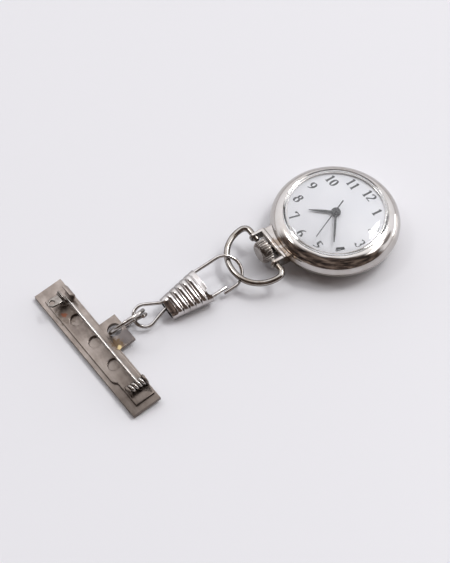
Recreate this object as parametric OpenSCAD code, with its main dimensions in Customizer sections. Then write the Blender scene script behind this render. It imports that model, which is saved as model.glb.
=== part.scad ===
/* [Watch] */
// Diameter of the watch case over its round edge
case_d = 28.2; // [27.6:0.1:28.6]
// Radius of the round edge of the bezel
edge_r = 3.3; // [3.2:0.05:3.4]
// Radius of the round edge of the back shell
back_edge_r = 4.35; // [4.2:0.05:4.5]
// Height of the joint between the back shell and the bezel, where the case is widest
joint_z = 3.75; // [3.7:0.05:3.8]
// Height of the bezel's top rim
rim_z = 7; // [6.9:0.05:7]
// Diameter of the crystal
crystal_d = 22.6; // [22.4:0.1:22.8]
// Diameter of the white dial that shows inside the bezel's lip
dial_show_d = 22; // [21:0.1:22]
// Height of the dial's white face
dial_z = 6.05; // [5.8:0.05:6.2]
// Height of the crystal's round side above the rim
crystal_side = 1.05; // [0.9:0.05:1.2]
// Rise of the crystal's dome
dome_rise = 0.95; // [0.8:0.05:1.1]

/* [Hands] */
// Angle of the hour hand, clockwise from twelve
hour_angle = 220; // [0:1:360]
// Angle of the minute hand, clockwise from twelve
minute_angle = 128; // [0:1:360]
// Angle of the second hand, clockwise from twelve
second_angle = 156; // [0:1:360]
// Length of the hour hand
hour_l = 5.8; // [4:0.1:7]
// Length of the minute hand
minute_l = 7.8; // [6:0.1:9]
// Length of the second hand
second_l = 8; // [6:0.1:9]
// Length of the second hand's tail
tail_l = 3.6; // [2:0.1:4]

/* [Pendant and bow] */
// Sideways offset of the pendant from the dial's twelve to six line
pendant_y = 1.5; // [0:0.1:2]
// Height of the crown's axis
pendant_z = 4.2; // [4:0.1:4.4]
// Width of the pendant bar over its ears
pendant_w = 8.9; // [8.7:0.1:9.6]
// Diameter of the crown
crown_d = 5; // [4:0.1:5.4]
// Length of the crown's barrel
crown_l = 2.6; // [2:0.1:2.7]
// Number of flutes round the crown
flutes = 26; // [16:1:30]
// Diameter of the bow's wire
bow_wire_d = 1.32; // [1.1:0.02:1.4]
// Width of the bow between the middles of its wire
bow_w = 14.6; // [13:0.1:16]
// Length of the bow from its pins to the middle of its nose
bow_l = 8.25; // [8:0.05:8.5]

/* [Clip] */
// Diameter of the clip's wire
clip_wire_d = 0.76; // [0.6:0.02:0.8]
// Length of the ribbed sleeve
sleeve_l = 9.4; // [9:0.1:9.6]
// Width of the sleeve's narrow end
sleeve_w0 = 4.6; // [4.4:0.1:5]
// Width of the sleeve's wide end
sleeve_w1 = 8; // [7.6:0.1:8.2]
// Thickness of the sleeve's narrow end
sleeve_t0 = 3; // [2.8:0.1:3.2]
// Thickness of the sleeve's wide end
sleeve_t1 = 3.5; // [3.4:0.1:3.5]
// Number of ribs on the sleeve
ribs = 5; // [3:1:5]

/* [Ring] */
// Diameter of the ring's wire
ring_wire_d = 0.9; // [0.7:0.05:0.9]
// Outer diameter of the ring
ring_d = 9.1; // [9:0.05:9.2]

/* [Brooch] */
// Length of the brooch plate
plate_l = 36; // [30:0.5:40]
// Width of the brooch plate
plate_w = 6.7; // [6.5:0.1:8]
// Thickness of the brooch plate
plate_t = 1; // [0.8:0.1:1]
// Width of the tab that carries the ring
tab_w = 7.4; // [6:0.1:8]
// Length of the tab
tab_l = 3.9; // [3.8:0.1:4.2]
// Diameter of the pin stem
stem_d = 0.76; // [0.6:0.02:0.8]

/* [Hidden] */
$fn = 64;

// Colours as the photograph shows them
nickel = "silver";
steel = "gainsboro";
worn = "tan";

// Gap between pieces that are fastened together, and running clearance of what turns
gap = 0.05;
run = 0.05;
// Overshoot of a cut past the face it opens
eps = 0.2;
// Sides of a swept wire, and the steps of its arcs and bends
wire_sides = 10;
bow_sides = 12;
arc_step = 12;
bend_steps = 4;

// Where the brooch's low edge lies, seen from the watch's centre, how far it is turned, and its tilt,
// with which its tab rests on the ring
plate_x = -61.62;
plate_y = 1.86;
plate_yaw = 4.6;
plate_tilt = 6.6;

// The part's box, taken from the plate's corners and the case, sets the origin under its middle
case_r = case_d / 2;
box_x0 = plate_x - plate_l / 2 * sin(plate_yaw) - plate_t * sin(plate_tilt) * cos(plate_yaw);
box_y0 = plate_y - plate_l / 2 * cos(plate_yaw) - plate_t * sin(plate_tilt) * sin(plate_yaw);
box_y1 = plate_y + plate_l / 2 * cos(plate_yaw) + plate_w * cos(plate_tilt) * sin(plate_yaw);
shift_x = -(box_x0 + case_r) / 2;
shift_y = -(box_y0 + box_y1) / 2;

// Back shell and bezel
shell_rc = case_r - back_edge_r;
shell_floor = 0.9;
cavity_r = 10.6;
joint_gap = 0.06;
bezel_rc = case_r - edge_r;
lip_t = 0.33;
dial_t = 0.4;
dial_r = 11.1;
recess_r = 11.15;
movement_r = 10.3;
movement_z0 = shell_floor + gap;

// Crystal
crystal_r = crystal_d / 2;
crystal_z0 = dial_z + gap + lip_t + gap;
crystal_side_z = rim_z + crystal_side;
crystal_wall = 0.6;
dome_r = (crystal_r * crystal_r + dome_rise * dome_rise) / (2 * dome_rise);
dome_zc = crystal_side_z + dome_rise - dome_r;

// Hands: each tube turns in the one outside it, and each blade has a width at its hub and at its tip
hour_tube_r = 0.75;
minute_tube_r = 0.45;
second_pin_r = 0.15;
hour_z = 6.4;
minute_z = 6.82;
second_z = 7.18;
hour_hub_r = 1.07;
minute_hub_r = 0.9;
second_hub_r = 0.45;
hub_t = 0.32;
second_hub_t = 0.2;
blade_t = 0.16;
tube_z = 4.2;
hour_blade = [1.3, 0.35];
minute_blade = [0.75, 0.4];
second_blade = [0.22, 0.14];
tail_blade = [0.22, 0.3];

// Pendant bar, ears, crown and stem
bar_x = -15.7;
bar_r = 0.65;
bar_h = 3.1;
neck_top = 0.95;
neck_l = 4.2;
ear_t = 0.7;
ear_r = 1.15;
pin_x = -17.1;
pin_rise = 0.3;
pin_hole_r = bow_wire_d / 2 + run;
crown_x0 = -18.8;
crown_boss_r = 1.1;
crown_boss_l = 0.4;
stem_r = 0.5;
stem_x1 = -8.8;
stem_in_crown = 1.3;
flute_r = 0.17;

// Bow: a nose arc, two side arcs and two shoulder arcs that end in the pins, all drooping from the pendant
bow_droop = 10;
nose_r = 8.5;
shoulder_r = 1.4;
pin_end = 2.85;
bow_r = bow_wire_d / 2;
bow_half = bow_w / 2;
nose_cx = nose_r - bow_l;
side_dx = nose_cx + shoulder_r;
side_d = nose_r - bow_half;
side_q = (side_dx * side_dx + side_d * side_d) / (2 * side_d);
side_r = nose_r - side_q;
nose_a = acos(side_dx / side_q);
side_cy = bow_half - side_r;

// Clip frame: its origin is the middle of the sleeve's narrow end
clip_at = [-41.8, 1.61, 2.15];
clip_yaw = 3.3;
clip_pitch = 4.4;
clip_roll = 24;
wire_r = clip_wire_d / 2;
small_c = [-4.6, 1.2];
small_r = 2.36;
leg_up = [0, 1.5];
leg_low = [0, 0.1];
leg_end_x = 8.2;
leg_bend_r = 1.5;
hook_c = [15, -0.5];
hook_r = 3.6;
hook_end_x = 12.2;
stub_y = -3.25;
stub_x = 13.5;
sleeve_wall = 0.38;
rib_first = 1.95;
rib_pitch = 1.39;
rib_w = 0.9;
rib_h = 0.2;
web_x0 = 1.5;
web_x1 = 4.4;
cavity_steps = 4;
notch_r = 0.95;
notch_at = [9.7, -2.2];

// Ring: two arcs that part at the joint, where the wire's ends lie side by side
ring_at = [-50.9, 1.8, 4.15];
ring_yaw = 4.05;
ring_lean = 28.5;
ring_r = ring_wire_d / 2;
ring_mid_r = ring_d / 2 - ring_r;
ring_rise = 0.97;
ring_overlap = 16;
ring_joint_a = -35;

// Brooch fittings, in the plate's own frame
tab_y = -0.15;
tab_hole = [8.4, 0.55];
tab_hole_r = 1.5;
strip_x0 = 0.9;
strip_x1 = 6.3;
strip_t = 0.55;
strip_y0 = -10.3;
strip_y1 = 15.2;
strip_corner_r = 1.6;
strip_hole_x = 3.65;
strip_hole_r = 1.35;
strip_hole_y = 0.6;
strip_hole_pitch = 6.75;
base_x0 = 1.7;
base_y0 = -16.6;
coil_y = -13.4;
coil_z = 2.35;
coil_x0 = 3.05;
coil_turns = 4;
coil_pitch = 0.83;
coil_mid_r = 0.72;
coil_wire_r = 0.36;
coil_tube_r = 0.62;
coil_well = 2.5;
rivet_r = 0.3;
ear_in0 = 2.5;
ear_in1 = 6.1;
hinge_ear_t = 0.5;
hinge_ear_r = 1.15;
pin_line_x = coil_x0 + 2 * coil_pitch;
pin_line_z = coil_z + coil_mid_r;
stem_tip_y = 13.5;
stem_taper = 3.2;
catch_y0 = 11.3;
catch_y1 = 14.1;
catch_out_r = 1.75;
catch_in_r = 1.3;
catch_a0 = -150;
catch_a1 = 62;
roller_in_r = 0.8;
roller_a0 = 126;
roller_a1 = 250;
lever_l = 4.2;
lever_t = 0.5;
lever_w = 2;
lever_a = 170;
lever_hole_r = 0.5;

// Tangent points of the small loop's legs, as angles round its middle
function leg_angle(p, side) = let (d = p - small_c)
    atan2(d[1], d[0]) + side * acos(small_r / norm(d));
function on_loop(a) = small_c + small_r * [cos(a), sin(a)];

// A point with its height, the direction between two points seen from above, and the points of an arc
function lifted(p) = len(p) == 3 ? p : [p[0], p[1], 0];
function heading(a, b) = let (d = [b[0] - a[0], b[1] - a[1]]) d / norm(d);
function arc_points(c, r, a0, a1, steps) =
    [for (k = [0:steps]) let (a = a0 + (a1 - a0) * k / steps) [c[0] + r * cos(a), c[1] + r * sin(a)]];
// The points of a bend of radius r where the path a, b, c turns
function bend_points(a, b, c, r) = let (d = heading(a, b), e = heading(b, c),
    turn = atan2(d[0] * e[1] - d[1] * e[0], d[0] * e[0] + d[1] * e[1]),
    inward = sign(turn) * [-d[1], d[0]], centre = b - r * tan(abs(turn) / 2) * d + r * inward,
    start = atan2(-inward[1], -inward[0])) arc_points(centre, r, start, start + turn, bend_steps);

// Half width and half thickness of the sleeve at a place along it
function sleeve_a(x) = sleeve_w0 / 2 + (sleeve_w1 - sleeve_w0) / 2 * x / sleeve_l;
function sleeve_b(x) = sleeve_t0 / 2 + (sleeve_t1 - sleeve_t0) / 2 * x / sleeve_l;

// Frames of the four groups
module in_part() { translate([shift_x, shift_y, 0]) children(); }
module in_plate() { in_part() translate([plate_x, plate_y, 0]) rotate([0, -plate_tilt, plate_yaw]) children(); }
module in_clip() { in_part() translate(clip_at) rotate([clip_roll, -clip_pitch, clip_yaw]) children(); }
module in_pendant() { in_part() translate([0, pendant_y, pendant_z]) children(); }

// A round bar between two points
module rod(a, b, r) {
    d = b - a;
    translate(a) rotate([0, acos(d[2] / norm(d)), atan2(d[1], d[0])]) cylinder(r = r, h = norm(d));
}
// A round wire swept along a path that lies in the XY plane, or rises slowly from it
module wire(path, r, sides) {
    last = len(path) - 1;
    rings = [for (k = [0:last])
        let (along = heading(path[max(k - 1, 0)], path[min(k + 1, last)]), aside = [-along[1], along[0], 0])
            for (j = [0:sides - 1]) let (a = 360 * j / sides) lifted(path[k]) + r * (cos(a) * aside + sin(a) * [0, 0, 1])];
    walls = [for (k = [0:last - 1], j = [0:sides - 1]) let (next = (j + 1) % sides)
        [k * sides + j, (k + 1) * sides + j, (k + 1) * sides + next, k * sides + next]];
    ends = [[for (j = [0:sides - 1]) j], [for (j = [sides - 1:-1:0]) last * sides + j]];
    polyhedron(rings, concat(walls, ends));
}
// A slab with half round sides, along X, between x0 and x1
module slab(x0, x1, a, b) {
    translate([x0, 0, 0]) rotate([90, 0, 90]) linear_extrude(x1 - x0) {
        square([2 * (a - b), 2 * b], center = true);
        for (s = [-1, 1]) translate([s * (a - b), 0]) circle(r = b);
    }
}
module tube(r_out, r_in, h) {
    difference() {
        cylinder(r = r_out, h = h);
        translate([0, 0, -eps]) cylinder(r = r_in, h = h + 2 * eps);
    }
}
// A sector of a ring in the XY plane
module ring_sector(r_out, r_in, a0, a1, h) {
    rotate([0, 0, a0]) rotate_extrude(angle = a1 - a0) translate([r_in, 0]) square([r_out - r_in, h]);
}
// Turns a shape drawn along Z so that it runs along X or along Y
module along_x() { rotate([0, 90, 0]) children(); }
module along_y() { rotate([-90, 0, 0]) children(); }

module plate_outline() {
    translate([0, -plate_l / 2]) square([plate_w, plate_l]);
    translate([plate_w - eps, tab_y - tab_w / 2]) square([tab_l + eps, tab_w]);
}

module strip_outline() {
    difference() {
        translate([strip_x0, strip_y0]) square([strip_x1 - strip_x0, strip_y1 - strip_y0]);
        translate([strip_x0 - eps, strip_y0 - eps]) square(strip_corner_r + eps);
        for (k = [-1:1])
            translate([strip_hole_x, strip_hole_y + k * strip_hole_pitch]) circle(r = strip_hole_r);
    }
    translate([strip_x0 + strip_corner_r, strip_y0 + strip_corner_r]) circle(r = strip_corner_r);
    translate([base_x0, base_y0]) square([strip_x1 - base_x0, strip_y0 - base_y0 + eps]);
}

// One upright ear of the pin's hinge, with the rivet's hole
module hinge_ear(x) {
    difference() {
        translate([x, 0, 0]) union() {
            translate([0, coil_y, coil_z]) along_x() cylinder(r = hinge_ear_r, h = hinge_ear_t);
            translate([0, coil_y - hinge_ear_r, plate_t]) cube([hinge_ear_t, 2 * hinge_ear_r, coil_z - plate_t]);
        }
        translate([x - eps, coil_y, coil_z]) along_x() cylinder(r = rivet_r, h = hinge_ear_t + 2 * eps);
    }
}

// The plate with its tab, and the bar pin finding that is soldered to it
module pin_plate() {
    color(nickel) in_plate() {
        difference() {
            union() {
                linear_extrude(plate_t) plate_outline();
                translate([0, 0, plate_t - gap]) linear_extrude(strip_t + gap) strip_outline();
            }
            translate([tab_hole[0], tab_hole[1], -eps]) cylinder(r = tab_hole_r, h = plate_t + 2 * eps);
            translate([ear_in0, coil_y - coil_well / 2, plate_t]) cube([ear_in1 - ear_in0, coil_well, plate_t]);
        }
        for (x = [ear_in0 - hinge_ear_t, ear_in1]) hinge_ear(x);
        translate([pin_line_x, catch_y1, pin_line_z]) rotate([90, 0, 0])
            ring_sector(catch_out_r, catch_in_r, catch_a0, catch_a1, catch_y1 - catch_y0);
    }
}

module hinge_rivet() {
    color(steel) in_plate()
        translate([ear_in0 - hinge_ear_t, coil_y, coil_z]) along_x()
            cylinder(r = rivet_r, h = ear_in1 - ear_in0 + 2 * hinge_ear_t);
}

// The spring wire: a close coil on the rivet, and the straight pointed stem
module pin_stem() {
    color(steel) in_plate() {
        translate([coil_x0, coil_y, coil_z]) along_x() {
            translate([0, 0, -coil_wire_r])
                tube(coil_tube_r, rivet_r + run, (coil_turns - 1) * coil_pitch + 2 * coil_wire_r);
            for (k = [0:coil_turns - 1]) translate([0, 0, k * coil_pitch])
                rotate_extrude() translate([coil_mid_r, 0]) circle(r = coil_wire_r);
        }
        translate([pin_line_x, coil_y, pin_line_z]) along_y() {
            cylinder(d = stem_d, h = stem_tip_y - stem_taper - coil_y);
            translate([0, 0, stem_tip_y - stem_taper - coil_y])
                cylinder(d1 = stem_d, d2 = stem_d / 4, h = stem_taper);
        }
    }
}

// The turning half of the safety catch, with its thumb lever
module catch_roller() {
    color(steel) in_plate() translate([pin_line_x, catch_y1, pin_line_z]) rotate([90, 0, 0]) difference() {
        union() {
            ring_sector(catch_in_r - run, roller_in_r, roller_a0, roller_a1, catch_y1 - catch_y0);
            rotate([0, 0, lever_a]) translate([roller_in_r + gap, -lever_t / 2, (catch_y1 - catch_y0 - lever_w) / 2])
                cube([lever_l - roller_in_r - gap, lever_t, lever_w]);
        }
        rotate([0, 0, lever_a]) translate([lever_l - lever_w / 2, 0, (catch_y1 - catch_y0) / 2])
            rotate([90, 0, 0]) cylinder(r = lever_hole_r, h = lever_t + 2 * eps, center = true);
    }
}

// The ring rises slowly along its turn, so that its two ends lie side by side past the joint
module split_ring() {
    turn = 360 + 2 * ring_overlap;
    steps = ceil(turn / arc_step);
    path = [for (k = [0:steps]) let (a = ring_joint_a + ring_overlap - turn * (1 - k / steps))
        [ring_mid_r * cos(a), ring_mid_r * sin(a), ring_rise * (a - ring_joint_a + 180) / 360]];
    color(steel) in_part() translate(ring_at) rotate([ring_lean - 90, 0, ring_yaw]) wire(path, ring_r, wire_sides);
}

// The clip's wire: the hook, the leg to the small loop, the loop, and the leg that ends in a stub
module clip_wire() {
    a_up = leg_angle(leg_up, 1);
    a_low = leg_angle(leg_low, -1) + 360;
    hook_top = [hook_c[0], hook_c[1] + hook_r];
    leg_end = [leg_end_x, hook_top[1]];
    stub_start = [leg_end_x, stub_y];
    path = concat(
        [[hook_end_x, hook_c[1] - hook_r]],
        arc_points(hook_c, hook_r, -90, 90, ceil(180 / arc_step)),
        bend_points(hook_top, leg_end, leg_up, leg_bend_r),
        bend_points(leg_end, leg_up, on_loop(a_up), leg_bend_r),
        arc_points(small_c, small_r, a_up, a_low, ceil((a_low - a_up) / arc_step)),
        bend_points(on_loop(a_low), leg_low, stub_start, leg_bend_r),
        bend_points(leg_low, stub_start, [stub_x, stub_y], leg_bend_r),
        [[stub_x, stub_y]]);
    color(steel) in_clip() wire(path, wire_r, wire_sides);
}

// The sleeve's body in steps that widen, with its ribs
module sleeve_body() {
    starts = [for (k = [0:ribs]) k == 0 ? 0 : rib_first + (k - 1) * rib_pitch];
    for (k = [0:ribs]) {
        x0 = starts[k];
        x1 = k == ribs ? sleeve_l : starts[k + 1];
        slab(x0, x1, sleeve_a(x0), sleeve_b(x0));
    }
    for (k = [0:ribs - 1]) {
        x = starts[k + 1];
        slab(x - rib_w / 2, x + rib_w / 2, sleeve_a(x) + rib_h, sleeve_b(x) + rib_h);
    }
    band_x = sleeve_l - rib_w - rib_w / 2;
    slab(band_x, sleeve_l, sleeve_a(sleeve_l), sleeve_b(sleeve_l));
}

// The room that one leg of the wire takes up inside the sleeve
module leg_bore(start, y) {
    rod(lifted(start), [leg_end_x, y, 0], wire_r + gap);
    rod([leg_end_x - wire_r, y, 0], [sleeve_l + eps, y, 0], wire_r + 2 * gap);
}

module clip_sleeve() {
    leg_y = hook_c[1] + hook_r;
    step = (sleeve_l - web_x1) / cavity_steps;
    color(nickel) in_clip() difference() {
        sleeve_body();
        slab(-eps, web_x0, sleeve_a(0) - sleeve_wall, sleeve_b(0) - sleeve_wall);
        for (k = [0:cavity_steps - 1]) {
            x0 = web_x1 + k * step;
            slab(x0, k == cavity_steps - 1 ? sleeve_l + eps : x0 + step + gap,
                sleeve_a(x0) - sleeve_wall, sleeve_b(x0) - sleeve_wall);
        }
        leg_bore(leg_up, leg_y);
        leg_bore(leg_low, stub_y);
        translate([notch_at[0], notch_at[1], 0]) cylinder(r = notch_r, h = sleeve_t1);
    }
}

// The bow's wire from one pin round the nose to the other
module bow() {
    half = concat(
        [[0, pin_end]],
        arc_points([-shoulder_r, bow_half - shoulder_r], shoulder_r, 0, 90, ceil(90 / arc_step)),
        arc_points([-shoulder_r, side_cy], side_r, 90 + arc_step / 2, 180 - nose_a, ceil((90 - nose_a) / arc_step)),
        arc_points([nose_cx, 0], nose_r, 180 - nose_a + arc_step / 4, 180, ceil(nose_a / arc_step) + 1));
    last = len(half) - 1;
    path = concat(half, [for (k = [last - 1:-1:0]) [half[k][0], -half[k][1]]]);
    color(nickel) in_pendant() translate([pin_x, 0, pin_rise]) rotate([0, -bow_droop, 0]) wire(path, bow_r, bow_sides);
}

// The bar of the pendant with the neck behind it and its two ears, before the case is cut to take the movement
module pendant_solid() {
    bar_mid = bar_x + bar_r;
    translate([0, pendant_y - pendant_w / 2, pendant_z]) {
        for (side = [-1, 1]) translate([bar_mid, 0, side * (bar_h / 2 - bar_r)]) along_y()
            cylinder(r = bar_r, h = pendant_w);
        translate([bar_x, 0, bar_r - bar_h / 2]) cube([2 * bar_r, pendant_w, bar_h - 2 * bar_r]);
        translate([bar_mid, 0, -bar_h / 2]) cube([neck_l, pendant_w, bar_h / 2 + neck_top]);
        for (y = [0, pendant_w - ear_t]) translate([0, y, pin_rise]) {
            translate([pin_x, 0, 0]) along_y() cylinder(r = ear_r, h = ear_t);
            translate([pin_x, 0, -ear_r]) cube([bar_mid - pin_x, ear_t, 2 * ear_r]);
        }
    }
}

// The bezel's outer shape above the joint, grown by a margin
module bezel_outline(margin) {
    intersection() {
        union() {
            translate([bezel_rc, joint_z]) circle(r = edge_r + margin);
            square([bezel_rc, joint_z + edge_r + margin]);
        }
        translate([0, joint_z + joint_gap / 2 - margin]) square([case_r + margin, edge_r + 2 * margin]);
    }
}

module case_shell() {
    color(nickel) in_part() difference() {
        union() {
            rotate_extrude() intersection() {
                union() {
                    square([shell_rc, joint_z]);
                    translate([shell_rc, back_edge_r]) circle(r = back_edge_r);
                }
                square([case_r, joint_z - joint_gap / 2]);
            }
            pendant_solid();
        }
        translate([0, 0, shell_floor]) cylinder(r = cavity_r, h = rim_z);
        rotate_extrude() bezel_outline(joint_gap);
        translate([bar_x - eps, pendant_y, pendant_z]) along_x() cylinder(r = stem_r + run, h = -bar_x - cavity_r + bar_r);
        translate([pin_x, pendant_y - pendant_w / 2 - eps, pendant_z + pin_rise]) along_y()
            cylinder(r = pin_hole_r, h = pendant_w + 2 * eps);
    }
}

module bezel() {
    color(nickel) in_part() difference() {
        rotate_extrude() difference() {
            intersection() {
                bezel_outline(0);
                square([case_r, rim_z]);
            }
            square([recess_r, dial_z + gap]);
            square([dial_show_d / 2, rim_z + eps]);
            translate([0, crystal_z0 - gap]) square([crystal_r + gap, rim_z]);
        }
        translate([-case_r, pendant_y, pendant_z]) along_x() cylinder(r = stem_r + run, h = edge_r + eps);
    }
}

// The plain block that stands for the works: it carries the dial, the hands and the stem
module movement() {
    color("gray") in_part() difference() {
        translate([0, 0, movement_z0]) cylinder(r = movement_r, h = dial_z - dial_t - gap - movement_z0);
        translate([0, 0, tube_z - gap]) cylinder(r = hour_tube_r + run, h = dial_z);
        translate([-movement_r - eps, pendant_y, pendant_z]) along_x()
            cylinder(r = stem_r + run, h = stem_x1 + gap + movement_r + eps);
    }
}

module dial() {
    color("white") in_part() translate([0, 0, dial_z - dial_t]) tube(dial_r, hour_tube_r + run, dial_t);
}

// A hand: a hub, a blade that narrows towards its tip, and a tube or pin under the hub
module hand(angle, z, length, hub_r, hub_h, blade) {
    translate([0, 0, z]) rotate([0, 0, -angle]) {
        cylinder(r = hub_r, h = hub_h);
        linear_extrude(blade_t)
            polygon([[0, -blade[0] / 2], [length, -blade[1] / 2], [length, blade[1] / 2], [0, blade[0] / 2]]);
    }
}

module hour_hand() {
    color("black") in_part() difference() {
        union() {
            hand(hour_angle, hour_z, hour_l, hour_hub_r, hub_t, hour_blade);
            translate([0, 0, tube_z]) cylinder(r = hour_tube_r, h = hour_z - tube_z);
        }
        translate([0, 0, tube_z - eps]) cylinder(r = minute_tube_r + run, h = rim_z);
    }
}

module minute_hand() {
    color("black") in_part() difference() {
        union() {
            hand(minute_angle, minute_z, minute_l, minute_hub_r, hub_t - run, minute_blade);
            translate([0, 0, tube_z]) cylinder(r = minute_tube_r, h = minute_z - tube_z);
        }
        translate([0, 0, tube_z - eps]) cylinder(r = second_pin_r + run, h = rim_z);
    }
}

module second_hand() {
    color("black") in_part() {
        hand(second_angle, second_z, second_l, second_hub_r, second_hub_t, second_blade);
        hand(second_angle + 180, second_z, tail_l, second_hub_r, second_hub_t, tail_blade);
        translate([0, 0, tube_z]) cylinder(r = second_pin_r, h = second_z - tube_z);
    }
}

module crystal() {
    color("white", 0.3) in_part() difference() {
        intersection() {
            translate([0, 0, crystal_z0]) cylinder(r = crystal_r, h = rim_z);
            translate([0, 0, dome_zc]) sphere(r = dome_r, $fn = 128);
        }
        intersection() {
            translate([0, 0, crystal_z0 - eps]) cylinder(r = crystal_r - crystal_wall, h = rim_z);
            translate([0, 0, dome_zc]) sphere(r = dome_r - crystal_wall, $fn = 128);
        }
    }
}

module crown_stem() {
    color(steel) in_pendant()
        rod([crown_x0 + crown_l - stem_in_crown, 0, 0], [stem_x1, 0, 0], stem_r);
}

module crown() {
    color(nickel) in_pendant() translate([crown_x0, 0, 0]) along_x() difference() {
        union() {
            cylinder(d = crown_d, h = crown_l);
            cylinder(r = crown_boss_r, h = crown_l + crown_boss_l);
        }
        for (k = [0:flutes - 1]) rotate([0, 0, k * 360 / flutes])
            translate([crown_d / 2 + flute_r / 3, 0, flute_r]) cylinder(r = flute_r, h = crown_l);
        translate([0, 0, crown_l - stem_in_crown - gap]) cylinder(r = stem_r + run / 2, h = crown_l);
    }
}

pin_plate();
hinge_rivet();
pin_stem();
catch_roller();
split_ring();
clip_wire();
clip_sleeve();
bow();
case_shell();
bezel();
movement();
dial();
hour_hand();
minute_hand();
second_hand();
crystal();
crown_stem();
crown();
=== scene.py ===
"""A nurse's fob watch on its bar brooch, lying on a white table."""

import math

import bpy
from mathutils import Matrix, Vector


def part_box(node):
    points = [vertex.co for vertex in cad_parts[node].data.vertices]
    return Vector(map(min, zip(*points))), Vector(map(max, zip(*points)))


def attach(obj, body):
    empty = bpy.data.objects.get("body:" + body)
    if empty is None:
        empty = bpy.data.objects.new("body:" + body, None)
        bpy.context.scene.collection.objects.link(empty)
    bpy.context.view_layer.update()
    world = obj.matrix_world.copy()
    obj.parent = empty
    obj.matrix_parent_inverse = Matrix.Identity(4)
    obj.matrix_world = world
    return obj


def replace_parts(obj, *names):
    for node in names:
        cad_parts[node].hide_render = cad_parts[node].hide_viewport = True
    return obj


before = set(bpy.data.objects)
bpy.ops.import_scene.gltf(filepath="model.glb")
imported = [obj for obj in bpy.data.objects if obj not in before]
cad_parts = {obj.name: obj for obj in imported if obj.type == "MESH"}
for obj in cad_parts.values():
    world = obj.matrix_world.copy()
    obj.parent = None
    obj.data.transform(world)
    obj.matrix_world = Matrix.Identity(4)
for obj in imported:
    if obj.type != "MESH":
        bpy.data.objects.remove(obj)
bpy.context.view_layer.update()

MM = 0.001
FOB = "fob"

# Middle of the watch on the table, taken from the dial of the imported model
dial_low, dial_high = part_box("dial")
WATCH_X = (dial_low[0] + dial_high[0]) / 2 / MM
WATCH_Y = (dial_low[1] + dial_high[1]) / 2 / MM

# Camera: seen from the watch's lower left, looking down
LOOK_AZIMUTH = 32.8
LOOK_ELEVATION = 56.5
CAMERA_DISTANCE = 320
AIM_X = -27.01
AIM_Y = 1.82
FOCAL_PIXELS = 1504
PHOTO_WIDTH = 450
SENSOR = 36

# The room: azimuth and elevation of the middle of its dark side and of a dark shelf, and its brightness
DARK_SIDE = (-134, 20)
DARK_SHELF = (-24, 35)
WALL_LIGHT = 1.31
WALL_TONES = ((0.0, (0.42, 0.40, 0.40)), (0.22, (0.86, 0.86, 0.89)), (1.0, (1.0, 1.0, 1.03)))
DARK_TONES = ((0.38, (0.012, 0.010, 0.010)), (0.5, (0.07, 0.052, 0.045)), (0.68, (0.24, 0.19, 0.16)))
CLUTTER_SCALE = 4.2
EDGE_SWAY = 0.5
HEIGHT_FADE = -0.18
DARK_EDGE = (0.29, 0.45)
SHELF_EDGE = (0.978, 0.992, 0.0, 0.85)
TABLE_SIZE = 3.0
TABLE_COLOUR = (0.832, 0.829, 0.857)
# Lights: name, azimuth, elevation, distance, size, power and colour
LIGHTS = (
    ("low_window", -10, 10, 1.4, (0.6, 0.24), 1.8, (1.0, 0.99, 0.98)),
    ("right_softbox", 1, 56, 1.2, (0.36, 0.22), 4, (1.0, 1.0, 1.0)),
    ("near_softbox", -36, 50, 1.2, (0.4, 0.3), 0.9, (1.0, 0.98, 0.97)),
    ("left_softbox", 127, 55, 1.2, (0.26, 0.14), 0.9, (1.0, 1.0, 1.0)),
)

# Case, in millimetres from the middle of the watch
CASE_R = 14.1
EDGE_R = 3.3
BACK_EDGE_R = 4.35
SHELL_RC = CASE_R - BACK_EDGE_R
SHELL_FLOOR = 0.9
CAVITY_R = 10.6
JOINT_Z = 3.75
HALF_SEAM = 0.03
# Soft lips at the joint: in from the case's rim, and down or up from the joint
SHELL_LIP = ((0.06, 0.09), (0.1, 0.05), (0.2, HALF_SEAM))
BEZEL_LIP = ((0.14, HALF_SEAM), (0.05, 0.06))
BEZEL_RC = CASE_R - EDGE_R
RIM_Z = 7.0
# The bezel's rim: out from the crystal's seat, and down from the top
RIM_SHAPE = ((0.05, 0.005), (0.015, 0.03), (0, 0.08))
# The chamfer of the lip under the crystal: out and down
INNER_LIP = (0.06, 0.05)
DIAL_Z = 6.05
DIAL_T = 0.4
DIAL_R = 11.1
DIAL_SHOW_R = 10.45
DIAL_HOLE_R = 0.8
DIAL_EDGE = 0.04
RECESS_R = 11.15
CRYSTAL_R = 11.3
CRYSTAL_Z0 = 6.48
CRYSTAL_SIDE_Z = 7.3
CRYSTAL_TOP_Z = 9.0
CRYSTAL_UNDER_Z = 7.6
CRYSTAL_WALL = 0.6
CRYSTAL_INNER_R = 0.5
SEAT_GAP = 0.05
DOME_POWER = 2.6
DOME_STEPS = 32
TURNED_STEPS = 160
NOTCH_ANGLE = 158
NOTCH_SIZE = (0.9, 1.1, 0.8)

# Printed numerals: the pen's strokes as shares of a figure's height
NUMERAL_RING_R = 8.7
FIGURE_H = 2.2
FIGURE_ADVANCE = 0.62
FIGURE_MIDDLE = (0.3, 0.48)
INK_SINK = 0.005
INK_RISE = 0.015
PEN_SLANT = 15
PEN_THIN = 0.07
PEN_THICK = 0.21
PEN_SWELL = 1.5

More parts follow.
